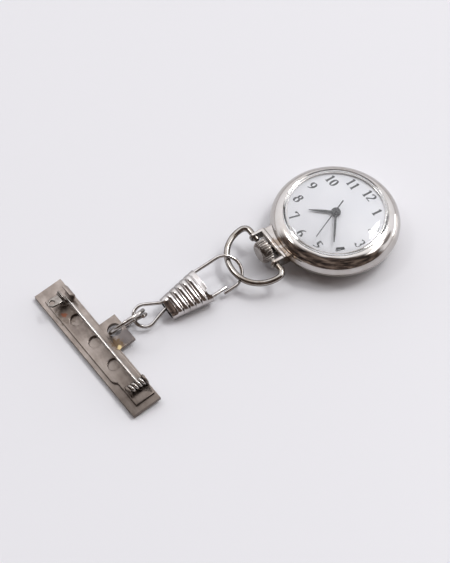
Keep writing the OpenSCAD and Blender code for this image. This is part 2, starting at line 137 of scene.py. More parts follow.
# Hands: (angle clockwise from twelve, length, height), the blade's (share of its length, width) stations,
# the boss's (radius, height, bore), the tube's radius, and the tail's stations
HANDS = (
    ("hour", (220, 5.8, 6.4), ((0.1, 0.5), (0.4, 0.66), (0.75, 0.42), (1.0, 0.16)),
     (1.07, 0.32, 0.5), 0.75, ()),
    ("minute", (128, 7.8, 6.82), ((0.08, 0.42), (0.45, 0.5), (0.8, 0.4), (1.0, 0.24)),
     (0.9, 0.27, 0.2), 0.45, ()),
    ("second", (156, 8.0, 7.18), ((0.0, 0.22), (1.0, 0.17)),
     (0.45, 0.2, 0.0), 0.15, ((0.0, 0.24), (0.6, 0.28), (1.0, 0.3))),
)
TAIL_L = 3.0
TAIL_T = 0.12
BLADE_T = 0.14
BLADE_EDGE = 0.03
BOSS_EDGE = 0.08
TUBE_FOOT_Z = DIAL_Z - 0.3
TUBE_TOP = 0.01

# Pendant, crown and bow
PENDANT_Y = 1.5
PENDANT_Z = 4.2
PENDANT_W = 8.9
BAR_X = -15.7
BAR_R = 0.65
BAR_H = 3.1
BAR_EDGE = 0.12
NECK_TOP = 0.95
NECK_ROOT = 0.4
EAR_T = 0.7
EAR_R = 1.15
EAR_EDGE = 0.1
PIN_X = -17.1
PIN_RISE = 0.3
CROWN_R = 2.5
CROWN_L = 2.6
CROWN_BOSS_L = 0.4
CROWN_X0 = -18.8
# The barrel's rounded ends: distance from the end, and share of the full radius there
CROWN_DOME = ((0.03, 0.74), (0.14, 0.83), (0.32, 0.91), (0.6, 0.97), (0.95, 1.0))
CROWN_LIP = ((0.5, 1.0), (0.34, 0.99), (0.18, 0.94), (0.10, 0.86))
CAP_R = 0.74 * CROWN_R
# The cap's dome: share of its radius, and depth there
CAP_DOME = ((0, 0), (0.5, 0.02), (0.8, 0.07), (0.95, 0.14), (1, 0.24))
# The face towards the case: how far inside the barrel's end its rim and the boss's foot lie
CAP_FACE = (0.1, 0.02)
CROWN_BOSS_R = 1.1
CROWN_BORE_R = 0.55
CROWN_BORE_L = 0.8
FLUTES = 26
# One flute: places across it as shares of its width, with the depth there
FLUTE_SHAPE = ((0, 0.3), (0.14, 0.2), (0.3, 0.03), (0.5, 0), (0.7, 0.03), (0.86, 0.2))
BOW_R = 0.66
BOW_HALF = 7.3
BOW_LENGTH = 8.25
BOW_DROOP = 10
NOSE_R = 8.5
SHOULDER_R = 1.4
SHOULDER_LEAD = 0.3
PIN_END = 2.85
# Rounded ends of a wire: back from the tip in wire radii, and share of the radius there
ROUND_END = ((0.5, 1.0), (0.15, 0.85), (0, 0.5))

# Clip
CLIP_AT = (-41.8, 1.61, 2.15)
CLIP_TURN = (24, -4.4, 3.3)
CLIP_WIRE_R = 0.38
SMALL_LOOP = (-4.6, 1.2)
SMALL_R = 2.36
LEG_UP = (0, 1.5)
LEG_LOW = (0, 0.1)
LEG_END_X = 8.2
HOOK = (15, -0.5)
HOOK_R = 3.6
HOOK_END_X = 12.2
STUB = (13.5, -3.25)
WIRE_BEND_R = 1.5
SLEEVE_L = 9.4
SLEEVE_W = (5.2, 8.3)
SLEEVE_SHIFT = -0.25
SLEEVE_T = (3.0, 3.5)
SLEEVE_WALL = 0.38
RIBS = 5
RIB_FIRST = 1.95
RIB_PITCH = 1.39
RIB_W = 1.16
RIB_H = 0.3
RIB_CROWN = 1.04
RIB_ROUND = 0.6
RIB_STEPS = 8
RIB_AT_SIDES = 0.12
GROOVE_DEPTH = 0.3
GROOVE_AT_SIDES = 0.04
NARROW_EDGE = 0.06
BAND_LEAD = 0.15
BAND_DIP = 0.12
BAND_RISE = 0.02
LIP_FLARE = 0.03
LIP_START = 0.35
LIP_END = 0.1
MOUTH_SLOPE = 0.42
SIDE_ROUND = 0.66
SLEEVE_ROLL = 12
MOUTH_DEPTH = (1.5, 5.0)
LIP_NOTCH = (9.7, -2.2, 0.95)

# Ring
RING_AT = (-50.9, 1.8, 4.15)
RING_TURN = (-61.5, 0, 4.05)
RING_WIRE_R = 0.45
RING_MID_R = 4.1
RING_JOINT = -35
RING_OVERLAP = 16
RING_RISE = 0.97
RING_STEP = 4

# Brooch
PLATE_AT = (-61.62, 1.86, 0)
PLATE_TURN = (0, -6.6, 4.6)
PLATE_L = 36
PLATE_W = 6.7
PLATE_T = 1.0
PLATE_EDGE = 0.08
TAB_W = 7.4
TAB_L = 3.9
TAB_Y = -0.15
TAB_HOLE = (8.4, 0.55)
TAB_HOLE_R = 1.5
STRIP_X = (0.9, 6.3)
STRIP_Y = (-10.3, 15.2)
STRIP_T = 0.55
STRIP_EDGE = 0.2
STRIP_CORNER_R = 1.6
STRIP_HOLE_X = 3.65
STRIP_HOLE_R = 1.35
STRIP_HOLE_Y = 0.6
STRIP_HOLE_PITCH = 6.75
BASE_X0 = 1.7
BASE_Y0 = -16.6
COIL_Y = -13.4
COIL_Z = 2.35
COIL_X0 = 3.05
COIL_TURNS = 4
COIL_PITCH = 0.83
COIL_R = 0.72
COIL_WIRE_R = 0.36
COIL_STEPS = 28
WELL_L = 2.5
RIVET_R = 0.3
EAR_IN = (2.5, 6.1)
HINGE_EAR_T = 0.5
HINGE_EAR_R = 1.15
HINGE_EAR_SINK = 0.1
RIVET_GAP = 0.02
RIVET_EDGE = 0.08
STRIP_SINK = 0.05
PIN_LINE_X = COIL_X0 + 2 * COIL_PITCH
PIN_LINE_Z = COIL_Z + COIL_R
PIN_R = 0.38
PIN_TIP_Y = 12.9
PIN_TAPER = 3.2
# The point: share of the pin's length, and share of its radius there
PIN_POINT = ((0.95, 0.6), (0.99, 0.3), (1.0, 0.12))
CATCH_Y = (11.3, 14.1)
CATCH_R = (1.3, 1.75)
CATCH_TURN = (-150, 62)
ROLLER_R = (0.8, 1.2)
ROLLER_TURN = (126, 250)
ROLLER_EDGE = 0.06
LEVER_L = 4.2
LEVER_T = 0.5
LEVER_EDGE = 0.1
LEVER_W = 2.0
LEVER_ANGLE = 170
LEVER_HOLE_R = 0.6
LEVER_ROOT = ROLLER_R[0] + 0.1

# Marks on polished metal: where smudges and scratches fade in, and the scratches' grain and depth
SMUDGE_EDGE = (0.42, 0.72)
SMUDGE_DULLNESS = 0.08
SCRATCH_EDGE = (0.55, 0.75)
SCRATCH_STRETCH = (1.0, 0.12, 1.0)
SCRATCH_TURN = (0, 0, 0.6)
SCRATCH_FINENESS = 9.0
SCRATCH_BUMP = (0.06, 0.00002)
# Painted shade on polished metal where it turns away from the eye, standing in for the dark room it reflects
# there: the start and end of the change, and its darkness
PAINTED_SHADE_FACING = (0.12, 0.62)
EDGE_SHADE = 0.15
# A worn spot's ragged edge
SPOT_GRAIN = 1600.0
SPOT_EDGE = (1.15, 0.75)
# The worn nickel of the brooch plate: its clouds and its rubbed streaks, and the painted shade that darkens
# its hinge end
PLATE_TONES = ((0.30, (0.20, 0.165, 0.145)), (0.52, (0.32, 0.272, 0.242)), (0.72, (0.45, 0.392, 0.355)))
RUBBED_TONE = (0.52, 0.46, 0.42)
HINGE_END_PAINTED_SHADE = (0.10, 0.082, 0.068)
STREAK_STRETCH = (1.0, 0.22, 1.0)
PLATE_ROUGHNESS = (0.34, 0.52)
PLATE_BUMP = (0.25, 0.00005)
DIAL_TONES = ((0.35, (0.785, 0.78, 0.81)), (0.65, (0.825, 0.815, 0.84)))
BLACK_TONES = ((0.3, (0.006, 0.006, 0.007)), (0.7, (0.014, 0.014, 0.016)))
DIAL_BUMP = (0.08, 0.00002)
CLOUD_SPAN = (0.3, 0.7)

# Spots on the brooch, worn ones and painted shade on the tab: place, radius, raggedness, strength and colour
GRIME = ((3.0, 9.8, 1.5), 2.4, 3.2, 0.6, (0.10, 0.072, 0.052))
RUST = ((2.3, 9.9, 1.5), 0.6, 3.2, 0.75, (0.22, 0.065, 0.03))
# Painted shade on the tab
TAB_PAINTED_SHADE = ((9.4, -2.2, 1.0), 1.9, 1.2, 0.65, (0.10, 0.092, 0.098))
BROWN_RING = ((6.9, -2.6, 1.0), 1.3, 3.0, 0.75, (0.17, 0.105, 0.05))
BARE_BRASS = ((6.9, -3.4, 1.0), 0.5, 2.2, 1.0, (0.80, 0.64, 0.34))
# Brown spots where the pendant meets the case: places and radii, then raggedness, strength and colour
NECK_SPOTS = (((-14.3, 1.4, 5.2), 1.3), ((-13.7, -3.2, 4.8), 1.6), ((-14.4, -1.0, 5.1), 0.9))
NECK_BROWN = (2.4, 0.7, (0.26, 0.18, 0.12))


def turned(at, turn):
    """The frame of a group of pieces: millimetres about its own origin, placed in the whole model."""
    angles = [math.radians(a) for a in turn]
    spin = Matrix.Rotation(angles[2], 4, "Z") @ Matrix.Rotation(angles[1], 4, "Y")
    spin = spin @ Matrix.Rotation(angles[0], 4, "X")
    shift = Matrix.Translation((WATCH_X + at[0], WATCH_Y + at[1], at[2]))
    return Matrix.Scale(MM, 4) @ shift @ spin


# Shapes drawn along Z, turned to run along X or, from front to back, along Y
ALONG_X = Matrix(((0, 0, 1), (1, 0, 0), (0, 1, 0))).to_4x4()
ALONG_Y = Matrix.Rotation(math.radians(90), 4, "X")

IN_WATCH = turned((0, 0, 0), (0, 0, 0))
IN_PENDANT_MM = Matrix.Translation((0, PENDANT_Y, PENDANT_Z))
IN_PENDANT = turned((0, PENDANT_Y, PENDANT_Z), (0, 0, 0))
IN_BOW = turned((PIN_X, PENDANT_Y, PENDANT_Z + PIN_RISE), (0, -BOW_DROOP, 0))
IN_CLIP = turned(CLIP_AT, CLIP_TURN)
IN_RING = turned(RING_AT, RING_TURN)
IN_PLATE = turned(PLATE_AT, PLATE_TURN)


# Small tools for modelling

def only(obj):
    """Leaves one object selected and active."""
    bpy.ops.object.select_all(action="DESELECT")
    obj.select_set(True)
    bpy.context.view_layer.objects.active = obj


def finish_piece(obj, name, place, material, body, smooth=35):
    """Settles a modelled piece: its place goes into its mesh, and it rides on its body."""
    only(obj)
    obj.name = name
    obj.matrix_world = place
    bpy.ops.object.transform_apply(location=True, rotation=True, scale=True)
    obj.data.name = name
    obj.data.materials.clear()
    obj.data.materials.append(material)
    if smooth:
        bpy.ops.object.shade_smooth_by_angle(angle=math.radians(smooth))
    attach(obj, body)
    return obj


def apply_modifiers(obj):
    """Settles an object's modifiers into its mesh."""
    only(obj)
    for modifier in list(obj.modifiers):
        bpy.ops.object.modifier_apply(modifier=modifier.name)


def move_to(obj, place):
    """Turns and moves a shape that is still being modelled."""
    only(obj)
    obj.matrix_world = place
    bpy.ops.object.transform_apply(location=True, rotation=True, scale=True)


def cut(obj, tool):
    """Takes one shape away from another."""
    modifier = obj.modifiers.new("cut", "BOOLEAN")
    modifier.operation = "DIFFERENCE"
    modifier.solver = "EXACT"
    modifier.object = tool
    apply_modifiers(obj)
    bpy.data.objects.remove(tool)


def joined(objects):
    """Several shapes made one."""
    bpy.ops.object.select_all(action="DESELECT")
    for obj in objects:
        obj.select_set(True)
    bpy.context.view_layer.objects.active = objects[0]
    bpy.ops.object.join()
    return objects[0]


def edge_chain(points, closed=False):
    """An object of one chain of edges through the points, the start of a spin or a loft."""
    mesh = bpy.data.meshes.new("chain")
    corners = [Vector((*p, 0)) if len(p) == 2 else Vector(p) for p in points]
    edges = [(k, k + 1) for k in range(len(corners) - 1)]
    if closed:
        edges.append((len(corners) - 1, 0))
    mesh.from_pydata(corners, edges, [])
    obj = bpy.data.objects.new("chain", mesh)
    bpy.context.collection.objects.link(obj)
    return obj


def revolved(profile, steps=128):
    """A closed turned shape: a profile of (radius, height) points spun about the Z axis."""
    obj = edge_chain([(r, 0, z) for r, z in profile])
    only(obj)
    bpy.ops.object.mode_set(mode="EDIT")
    bpy.ops.mesh.select_all(action="SELECT")
    bpy.ops.mesh.spin(steps=steps, angle=math.tau, center=(0, 0, 0), axis=(0, 0, 1))
    bpy.ops.mesh.select_all(action="SELECT")
    bpy.ops.mesh.remove_doubles(threshold=0.001)
    bpy.ops.mesh.dissolve_degenerate(threshold=0.001)
    bpy.ops.mesh.normals_make_consistent(inside=False)
    bpy.ops.object.mode_set(mode="OBJECT")
    return obj


def extruded(outline, steps):
    """A closed shape: an outline carried up Z through steps of (height, width scale, depth scale)."""
    obj = edge_chain(outline, closed=True)
    only(obj)
    height, wide, deep = steps[0]
    bpy.ops.object.mode_set(mode="EDIT")
    bpy.ops.mesh.select_all(action="SELECT")
    bpy.ops.mesh.edge_face_add()
    bpy.ops.transform.resize(value=(wide, deep, 1), center_override=(0, 0, 0))
    bpy.ops.transform.translate(value=(0, 0, height))
    for next_height, next_wide, next_deep in steps[1:]:
        bpy.ops.mesh.extrude_region_move(TRANSFORM_OT_translate={"value": (0, 0, next_height - height)})
        bpy.ops.transform.resize(value=(next_wide / wide, next_deep / deep, 1), center_override=(0, 0, 0))
        height, wide, deep = next_height, next_wide, next_deep
    bpy.ops.mesh.select_all(action="SELECT")
    bpy.ops.mesh.normals_make_consistent(inside=False)
    bpy.ops.object.mode_set(mode="OBJECT")
    return obj


def on_circle(centre, radius, angle):
    """One point of a circle in a plane."""
    a = math.radians(angle)
    return centre[0] + radius * math.cos(a), centre[1] + radius * math.sin(a)


def arc(centre, radius, start, end, step=4):
    """Points of an arc in a plane, from one angle to another."""
    count = max(2, math.ceil(abs(end - start) / step))
    return [on_circle(centre, radius, start + (end - start) * k / count) for k in range(count + 1)]


def bend(before, corner, after, radius):
    """Points of the bend where a path turns at a corner."""
    a, b, c = Vector(before), Vector(corner), Vector(after)
    d, e = (b - a).normalized(), (c - b).normalized()
    turn = math.atan2(d.x * e.y - d.y * e.x, d.dot(e))
    inward = math.copysign(1, turn) * Vector((-d.y, d.x))
    centre = b - radius * math.tan(abs(turn) / 2) * d + radius * inward
    start = math.degrees(math.atan2(-inward.y, -inward.x))
    return arc(centre, radius, start, start + math.degrees(turn))


def wire(points, radius, resolution, radii=None):
    """A round wire along the points, with closed ends."""
    curve = bpy.data.curves.new("wire", "CURVE")
    curve.dimensions = "3D"
    curve.bevel_depth = radius
    curve.bevel_resolution = resolution
    curve.use_fill_caps = True
    spline = curve.splines.new("POLY")
    spline.points.add(len(points) - 1)
    for k, p in enumerate(points):
        spline.points[k].co = (*p, 1)
        if radii:
            spline.points[k].radius = radii[k]
    obj = bpy.data.objects.new("wire", curve)
    bpy.context.collection.objects.link(obj)
    only(obj)
    bpy.ops.object.convert(target="MESH")
    return bpy.context.view_layer.objects.active


def sheet_part(outlines, bottom, top, bevel=0.0):
    """A flat part with holes: closed outlines filled, given a thickness along Z and softened edges."""
    curve = bpy.data.curves.new("sheet", "CURVE")
    curve.dimensions = "2D"
    curve.fill_mode = "BOTH"
    curve.extrude = (top - bottom) / 2 - bevel
    curve.bevel_depth = bevel
    curve.bevel_resolution = 2
    curve.offset = -bevel
    for outline in outlines:
        spline = curve.splines.new("POLY")
        spline.points.add(len(outline) - 1)
        for k, p in enumerate(outline):
            spline.points[k].co = (p[0], p[1], 0, 1)
        spline.use_cyclic_u = True
    obj = bpy.data.objects.new("sheet", curve)
    bpy.context.collection.objects.link(obj)
    only(obj)
    bpy.ops.object.convert(target="MESH")
    obj = bpy.context.view_layer.objects.active
    bpy.ops.object.mode_set(mode="EDIT")
    bpy.ops.mesh.select_all(action="SELECT")
    bpy.ops.mesh.remove_doubles(threshold=0.0005)
    bpy.ops.mesh.normals_make_consistent(inside=False)
    bpy.ops.transform.translate(value=(0, 0, (top + bottom) / 2))
    bpy.ops.object.mode_set(mode="OBJECT")
    return obj


def circle(centre, radius, step):
    """Points of a whole circle in a plane."""
    return arc(centre, radius, 0, 360, step)[:-1]


# Materials

def group(name, inputs, outputs):
    """An empty node group with named value or colour sockets."""
    tree = bpy.data.node_groups.new(name, "ShaderNodeTree")
    for label, kind, default in inputs:
        socket = tree.interface.new_socket(label, in_out="INPUT", socket_type=kind)
        socket.default_value = default
    for label, kind in outputs:
        tree.interface.new_socket(label, in_out="OUTPUT", socket_type=kind)
    return tree, tree.nodes.new("NodeGroupInput"), tree.nodes.new("NodeGroupOutput")


def feed(tree, socket, value):
    """Gives a socket a plain value or another node's output."""
    if isinstance(value, bpy.types.NodeSocket):
        tree.links.new(value, socket)
    else:
        socket.default_value = value


def math_node(tree, operation, *values):
    """Arithmetic on plain values or other nodes' outputs."""
    node = tree.nodes.new("ShaderNodeMath")
    node.operation = operation
    for socket, value in zip(node.inputs, values):
        feed(tree, socket, value)
    return node.outputs["Value"]


def vector_node(tree, operation, first, second):
    """A distance or a dot product."""
    node = tree.nodes.new("ShaderNodeVectorMath")
    node.operation = operation
    feed(tree, node.inputs[0], first)
    feed(tree, node.inputs[1], second)
    return node.outputs["Value"]


def mapping_node(tree, where, stretch, turn):
    """Coordinates stretched and turned, for a grain with a direction."""
    node = tree.nodes.new("ShaderNodeMapping")
    for label, value in (("Vector", where), ("Scale", stretch), ("Rotation", turn)):
        feed(tree, node.inputs[label], value)
    return node.outputs["Vector"]


def noise_node(tree, where, scale, detail, roughness=0.55):
    """Cloudy noise from 0 to 1."""
    node = tree.nodes.new("ShaderNodeTexNoise")
    for label, value in (("Vector", where), ("Scale", scale), ("Detail", detail), ("Roughness", roughness)):
        feed(tree, node.inputs[label], value)
    return node.outputs["Fac"]


def ramp_node(tree, source, stops):
    """A colour ramp from (position, colour) stops."""
    node = tree.nodes.new("ShaderNodeValToRGB")
    ramp = node.color_ramp
    while len(ramp.elements) < len(stops):
        ramp.elements.new(0.5)
    for element, (position, colour) in zip(ramp.elements, stops):
        element.position = position
        element.color = (*colour, 1)
    feed(tree, node.inputs["Fac"], source)
    return node.outputs["Color"]


def range_node(tree, source, low, high, to_low=0.0, to_high=1.0):
    """A value carried from one range to another and kept within it."""
    node = tree.nodes.new("ShaderNodeMapRange")
    values = (source, low, high, to_low, to_high)
    for label, value in zip(("Value", "From Min", "From Max", "To Min", "To Max"), values):
        feed(tree, node.inputs[label], value)
    return node.outputs["Result"]


def mix_node(tree, amount, first, second):
    """Two colours blended by a mask; each is a colour or another node's output."""
    node = tree.nodes.new("ShaderNodeMix")
    node.data_type = "RGBA"
    feed(tree, node.inputs["Factor"], amount)
    for label, value in (("A", first), ("B", second)):
        feed(tree, node.inputs[label], (*value, 1) if isinstance(value, tuple) else value)
    return node.outputs["Result"]


def smudge_group():
    """Handling marks on polished metal: a soft mask of smudges and a finer one of faint scratches."""
    tree, given, out = group(
        "smudges",
        [("Position", "NodeSocketVector", (0, 0, 0)), ("Size", "NodeSocketFloat", 300.0)],
        [("Smudge", "NodeSocketFloat"), ("Scratch", "NodeSocketFloat")],
    )
    where, size = given.outputs["Position"], given.outputs["Size"]
    soft = noise_node(tree, where, size, 3)
    feed(tree, out.inputs["Smudge"], range_node(tree, soft, *SMUDGE_EDGE))
    along = mapping_node(tree, where, SCRATCH_STRETCH, SCRATCH_TURN)
    fine = noise_node(tree, along, math_node(tree, "MULTIPLY", size, SCRATCH_FINENESS), 5, 0.7)
    feed(tree, out.inputs["Scratch"], range_node(tree, fine, *SCRATCH_EDGE))
    return tree


def patch_group():
    """A ragged spot on a surface round a point: 1 inside, 0 outside."""
    tree, given, out = group(
        "patch",
        [
            ("Position", "NodeSocketVector", (0, 0, 0)),
            ("Centre", "NodeSocketVector", (0, 0, 0)),
            ("Radius", "NodeSocketFloat", 0.001),
            ("Ragged", "NodeSocketFloat", 0.5),
        ],
        [("Mask", "NodeSocketFloat")],
    )
    where = given.outputs["Position"]
    away = vector_node(tree, "DISTANCE", where, given.outputs["Centre"])
    share = math_node(tree, "DIVIDE", away, given.outputs["Radius"])
    centred = math_node(tree, "SUBTRACT", noise_node(tree, where, SPOT_GRAIN, 5, 0.65), 0.5)
    sway = math_node(tree, "MULTIPLY_ADD", centred, given.outputs["Ragged"], share)
    feed(tree, out.inputs["Mask"], range_node(tree, sway, *SPOT_EDGE))
    return tree


SMUDGES = smudge_group()
PATCH = patch_group()


class Finish:
    """A material under construction: its tree, its shader and its object coordinates."""

    def __init__(self, name, **values):
        self.material = bpy.data.materials.new(name)
        self.material.use_nodes = True
        self.tree = self.material.node_tree
        self.shader = self.tree.nodes["Principled BSDF"]
        self.where = self.tree.nodes.new("ShaderNodeTexCoord").outputs["Object"]
        for label, value in values.items():
            socket = self.shader.inputs[label.replace("_", " ")]
            socket.default_value = (*value, 1) if label == "Base_Color" else value

    def link(self, source, target):
        self.tree.links.new(source, self.shader.inputs[target])

    def add(self, tree, **values):
        """One of the node groups, at the object's coordinates."""
        node = self.tree.nodes.new("ShaderNodeGroup")
        node.node_tree = tree
        self.tree.links.new(self.where, node.inputs["Position"])
        for label, value in values.items():
            node.inputs[label].default_value = value
        return node

    def noise(self, scale, detail, roughness=0.55, stretch=None, turn=(0, 0, 0)):
        where = mapping_node(self.tree, self.where, stretch, turn) if stretch else self.where
        return noise_node(self.tree, where, scale, detail, roughness)

    def spread(self, source, *ends):
        return range_node(self.tree, source, *ends)

    def ramp(self, source, stops):
        return ramp_node(self.tree, source, stops)

    def mix(self, amount, first, second):
        return mix_node(self.tree, amount, first, second)

    def stained(self, shade, place, spot):
        """A colour with one spot over it, such as wear, grime, brown marks and painted shade; the spot's
        centre lies in a group of pieces.
        """
        centre, radius, ragged, strength, colour = spot
        patch = self.add(PATCH, Centre=place @ Vector(centre), Radius=radius * MM, Ragged=ragged)
        cover = math_node(self.tree, "MULTIPLY", patch.outputs["Mask"], strength)
        return self.mix(cover, shade, colour)

    def bump(self, height, strength, distance):
        node = self.tree.nodes.new("ShaderNodeBump")
        node.inputs["Strength"].default_value = strength
        node.inputs["Distance"].default_value = distance
        self.tree.links.new(height, node.inputs["Height"])
        self.link(node.outputs["Normal"], "Normal")


def polished(name, colour, tarnish, roughness, size, rim, spots=()):
    """Polished plated metal with smudges, faint scratches and tarnish, and painted shade where it turns away
    from the eye.
    """
    finish = Finish(name, Metallic=1.0)
    marks = finish.add(SMUDGES, Size=size)
    metal = finish.mix(marks.outputs["Smudge"], colour, tarnish)
    # Painted shade: the base colour darkens where the surface turns away from the eye, standing in for the
    # dark room reflected there
    facing = finish.tree.nodes.new("ShaderNodeLayerWeight")
    painted_edge_shade = finish.spread(facing.outputs["Facing"], *PAINTED_SHADE_FACING, 0.0, rim)
    shade = finish.mix(painted_edge_shade, metal, tuple(EDGE_SHADE * c for c in tarnish))
    for centre, radius in spots:
        shade = finish.stained(shade, IN_WATCH, (centre, radius, *NECK_BROWN))
    finish.link(shade, "Base Color")
    dullest = roughness + SMUDGE_DULLNESS
    finish.link(finish.spread(marks.outputs["Smudge"], 0, 1, roughness, dullest), "Roughness")
    finish.bump(marks.outputs["Scratch"], *SCRATCH_BUMP)
    return finish.material


# The sixth value of each finish is the strength of its painted edge shade
CASE_FINISH = polished(
    "polished_case", (0.64, 0.61, 0.59), (0.57, 0.53, 0.49), 0.06, 260.0, 0.25, NECK_SPOTS)
PENDANT_FINISH = polished(
    "pendant_nickel", (0.60, 0.565, 0.54), (0.46, 0.40, 0.35), 0.2, 260.0, 0.5, NECK_SPOTS)
BOW_FINISH = polished("polished_bow", (0.49, 0.46, 0.43), (0.33, 0.28, 0.23), 0.08, 420.0, 0.85)
WIRE_FINISH = polished("spring_wire", (0.74, 0.71, 0.69), (0.48, 0.43, 0.39), 0.09, 600.0, 0.75)
PIN_FINISH = polished("steel_pin", (0.64, 0.61, 0.58), (0.42, 0.37, 0.33), 0.11, 700.0, 0.5)
CATCH_FINISH = polished("catch_nickel", (0.36, 0.33, 0.305), (0.16, 0.13, 0.11), 0.12, 900.0, 0.4)
SLEEVE_FINISH = polished("ribbed_sleeve", (0.76, 0.73, 0.72), (0.60, 0.56, 0.54), 0.07, 500.0, 0.6)


def worn_plate():
    """The brooch plate: dull worn nickel with brown, brass and rust spots, and painted shade that darkens
    its hinge end and its tab.
    """
    finish = Finish("worn_nickel_and_painted_shade", Metallic=1.0)
    turn = (0, 0, math.radians(-PLATE_TURN[2]))
    cloudy = finish.noise(260, 6, 0.6)
    rubbed = finish.noise(520, 5, 0.6, STREAK_STRETCH, turn)
    shade = finish.mix(finish.spread(rubbed, 0.5, 0.8), finish.ramp(cloudy, PLATE_TONES), RUBBED_TONE)
    along = finish.tree.nodes.new("ShaderNodeSeparateXYZ")
    finish.tree.links.new(finish.where, along.inputs["Vector"])
    # Painted shade, darkening the plate towards its hinge end
    ends = [(IN_PLATE @ Vector((0, y, 0))).y for y in (-PLATE_L / 2, PLATE_L / 4)]
    shade = finish.mix(finish.spread(along.outputs["Y"], *ends, 0.6, 0.0), shade, HINGE_END_PAINTED_SHADE)
    # Worn spots, and the painted shade on the tab
    for spot in (GRIME, RUST, TAB_PAINTED_SHADE, BROWN_RING, BARE_BRASS):
        shade = finish.stained(shade, IN_PLATE, spot)
    finish.link(shade, "Base Color")
    finish.link(finish.spread(rubbed, 0.3, 0.8, *PLATE_ROUGHNESS), "Roughness")
    finish.bump(finish.noise(1500, 6, 0.7), *PLATE_BUMP)
    return finish.material


PLATE_FINISH = worn_plate()


def crown_metal(name, dark, pale, roughness):
    """Cloudy nickel between two tones."""
    finish = Finish(name, Metallic=1.0)
    cloudy = finish.noise(700, 5)
    finish.link(finish.ramp(cloudy, list(zip(CLOUD_SPAN, (dark, pale)))), "Base Color")
    finish.link(finish.spread(cloudy, *CLOUD_SPAN, roughness, roughness + 0.14), "Roughness")
    return finish.material


# Both crown finishes are darker than the case's nickel: painted shade for the barrel's flutes and for the
# cap's face
CROWN_FINISH = crown_metal("crown_nickel", (0.28, 0.25, 0.23), (0.50, 0.465, 0.435), 0.18)
CROWN_CAP_FINISH = crown_metal("crown_cap", (0.29, 0.262, 0.245), (0.42, 0.385, 0.36), 0.14)


def dial_paint():
    """White dial enamel over metal, with a very fine tooth."""
    finish = Finish("dial_enamel", Roughness=0.38, Coat_Weight=0.25, Coat_Roughness=0.2)
    finish.link(finish.ramp(finish.noise(180, 3), DIAL_TONES), "Base Color")
    finish.bump(finish.noise(6000, 2), *DIAL_BUMP)
    return finish.material


def black_paint(name, roughness):
    """Black paint with slightly uneven gloss."""
    finish = Finish(name)
    cloudy = finish.noise(2500, 3)
    finish.link(finish.ramp(cloudy, BLACK_TONES), "Base Color")
    finish.link(finish.spread(cloudy, *CLOUD_SPAN, roughness, roughness + 0.1), "Roughness")
    return finish.material


def watch_glass():
    """Clear glass whose shadow lets the light through to the dial."""
    finish = Finish("watch_glass", Transmission_Weight=1.0, IOR=1.5, Base_Color=(0.985, 0.992, 0.99))
    marks = finish.add(SMUDGES, Size=180.0)
    finish.link(finish.spread(marks.outputs["Smudge"], 0, 1, 0.0, 0.02), "Roughness")
    tree = finish.tree
    clear = tree.nodes.new("ShaderNodeBsdfTransparent")
    clear.inputs["Color"].default_value = (0.94, 0.945, 0.95, 1)
    path = tree.nodes.new("ShaderNodeLightPath").outputs
    blend = tree.nodes.new("ShaderNodeMixShader")
    straight = math_node(tree, "MAXIMUM", path["Is Shadow Ray"], path["Is Diffuse Ray"])
    shaders = (straight, finish.shader.outputs["BSDF"], clear.outputs["BSDF"])
    for socket, source in zip(blend.inputs, shaders):
        tree.links.new(source, socket)
    tree.links.new(blend.outputs["Shader"], tree.nodes["Material Output"].inputs["Surface"])
    return finish.material


DIAL_FINISH = dial_paint()
NUMERAL_FINISH = black_paint("numeral_paint", 0.45)
HAND_FINISH = black_paint("hand_lacquer", 0.25)
GLASS_FINISH = watch_glass()


# Watch case

def back_shell():
    """The round back of the case, turned, with a soft lip at the joint and a notch for opening it."""
    profile = [(0, 0)] + arc((SHELL_RC, BACK_EDGE_R), BACK_EDGE_R, -90, -10, 3)
    profile += [(CASE_R - inward, JOINT_Z - down) for inward, down in SHELL_LIP]
    profile += [(CAVITY_R, JOINT_Z - HALF_SEAM), (CAVITY_R, SHELL_FLOOR), (0, SHELL_FLOOR)]
    shell = revolved(profile, TURNED_STEPS)
    bpy.ops.object.select_all(action="DESELECT")
    bpy.ops.mesh.primitive_cube_add(size=1, location=(CASE_R, 0, JOINT_Z))
    block = bpy.context.view_layer.objects.active
    bpy.ops.transform.resize(value=NOTCH_SIZE)
    bpy.ops.transform.rotate(value=-math.radians(NOTCH_ANGLE), orient_axis="Z", center_override=(0, 0, 0))
    cut(shell, block)
    return finish_piece(shell, "back_shell", IN_WATCH, CASE_FINISH, FOB, 40)


def bezel():
    """The rounded bezel with its inner lip under the crystal."""
    rim_angle = math.degrees(math.asin((RIM_Z - JOINT_Z) / EDGE_R))
    seat_r = CRYSTAL_R + SEAT_GAP
    seat_z = CRYSTAL_Z0 - SEAT_GAP
    profile = [(RECESS_R, JOINT_Z + HALF_SEAM)]
    profile += [(CASE_R - inward, JOINT_Z + up) for inward, up in BEZEL_LIP]
    profile += arc((BEZEL_RC, JOINT_Z), EDGE_R, 2.5, rim_angle - 2, 2.5)
    profile += [(seat_r + outward, RIM_Z - down) for outward, down in RIM_SHAPE]
    out, down = INNER_LIP
    profile += [(seat_r, seat_z), (DIAL_SHOW_R + out, seat_z), (DIAL_SHOW_R, seat_z - down)]
    profile += [(DIAL_SHOW_R, DIAL_Z + SEAT_GAP), (RECESS_R, DIAL_Z + SEAT_GAP), profile[0]]
    return finish_piece(revolved(profile, TURNED_STEPS), "bezel_ring", IN_WATCH, CASE_FINISH, FOB, 40)


